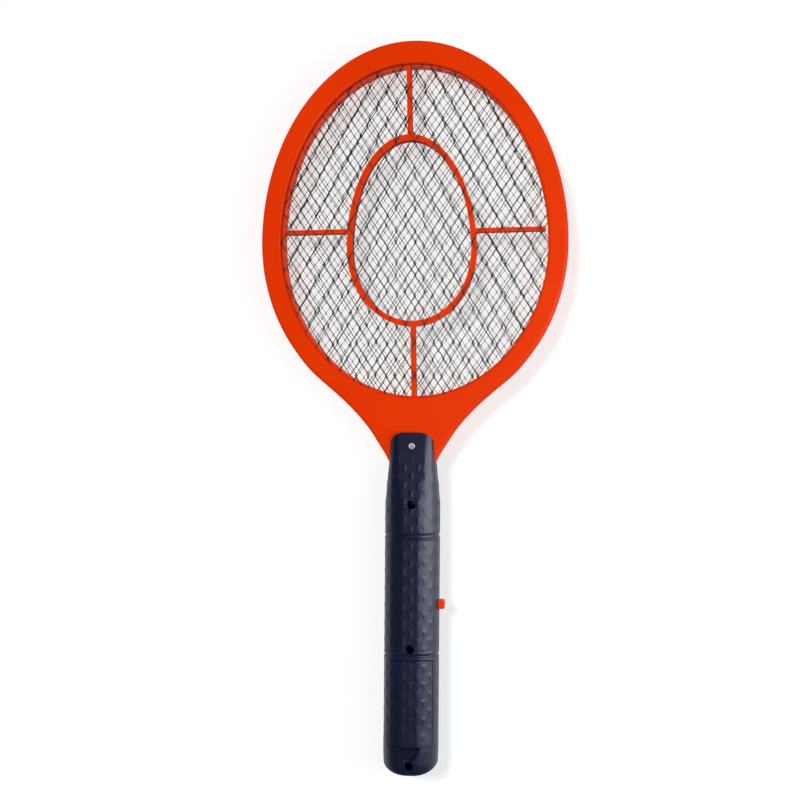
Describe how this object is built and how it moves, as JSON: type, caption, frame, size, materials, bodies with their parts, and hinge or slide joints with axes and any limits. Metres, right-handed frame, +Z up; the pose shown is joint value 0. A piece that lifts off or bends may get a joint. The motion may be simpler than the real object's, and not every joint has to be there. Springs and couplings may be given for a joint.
{
  "type": "electric fly swatter",
  "caption": "Racket-shaped electric fly swatter: egg-shaped mesh head between spacers in a two-part frame, round-edged grip handle with push button and battery door.",
  "frame": {"origin": "bottom centre of the bounding box, on the surface the handle lies on", "axes": "+X across the head toward the button's side, +Y along the handle toward the head, +Z up out of the battery door"},
  "size_m": [0.1846, 0.44, 0.03],
  "materials": {
    "orange_plastic": "satin moulded ABS",
    "mesh_steel": "dull expanded steel",
    "brass": "plain",
    "red_wire": "insulated wire",
    "black_wire": "insulated wire",
    "navy_plastic": "semi-gloss with moulded grip texture",
    "screw_steel": "bright zinc",
    "dark_screw": "dark zinc",
    "black_plastic": "matt",
    "white_plastic": "matt",
    "board": "paper laminate",
    "ferrite": "dull grey ferrite",
    "yellow_tape": "polyester tape",
    "red_capacitor": "dipped epoxy",
    "blue_ceramic": "lacquered disc",
    "tan_ceramic": "lacquered",
    "lamp": "tinted clear",
    "cell_can": "printed sleeve",
    "contact_nickel": "nickel plate"
  },
  "bodies": {
    "handle": {"frame_upper": "orange_plastic", "frame_lower": "orange_plastic", "separator_upper": "orange_plastic", "separator_lower": "orange_plastic", "mesh_upper": "mesh_steel", "mesh_middle": "mesh_steel", "mesh_lower": "mesh_steel", "mesh_crimps": "brass", "lead_middle_mesh": "red_wire", "lead_upper_mesh": "black_wire", "lead_lower_mesh": "black_wire", "handle_upper": "navy_plastic", "handle_lower": "navy_plastic", "tongue_screw": "screw_steel", "handle_screws": "dark_screw", "switch_body": "black_plastic", "circuit_board": "board", "board_screws": "screw_steel", "transformer_core": "ferrite", "transformer_bobbin": "black_plastic", "transformer_winding": "yellow_tape", "storage_capacitor": "red_capacitor", "doubler_capacitors": "blue_ceramic", "diodes": "black_plastic", "resistors": "tan_ceramic", "transistor": "black_plastic", "indicator_led": "lamp", "battery_left": "cell_can", "battery_right": "cell_can", "contact_positive": "contact_nickel", "contact_negative": "contact_nickel", "contact_bridge": "contact_nickel", "battery_lead_positive": "red_wire", "battery_lead_negative": "black_wire"},
    "door": {"battery_door": "navy_plastic"},
    "button": {"push_button": "orange_plastic", "switch_plunger": "white_plastic"}
  },
  "joints": [
    {"name": "press_button", "type": "slide", "parent": "handle", "child": "button", "axis": [-1, 0, 0], "range_m": [0, 0.0015], "stiffness_N_per_m": 300, "springref_m": -0.001},
    {"name": "open_battery_door", "type": "hinge", "parent": "handle", "child": "door", "pos_m": [0, -0.151, 0.03], "axis": [-1, 0, 0], "range_deg": [0, 60]}
  ]
}
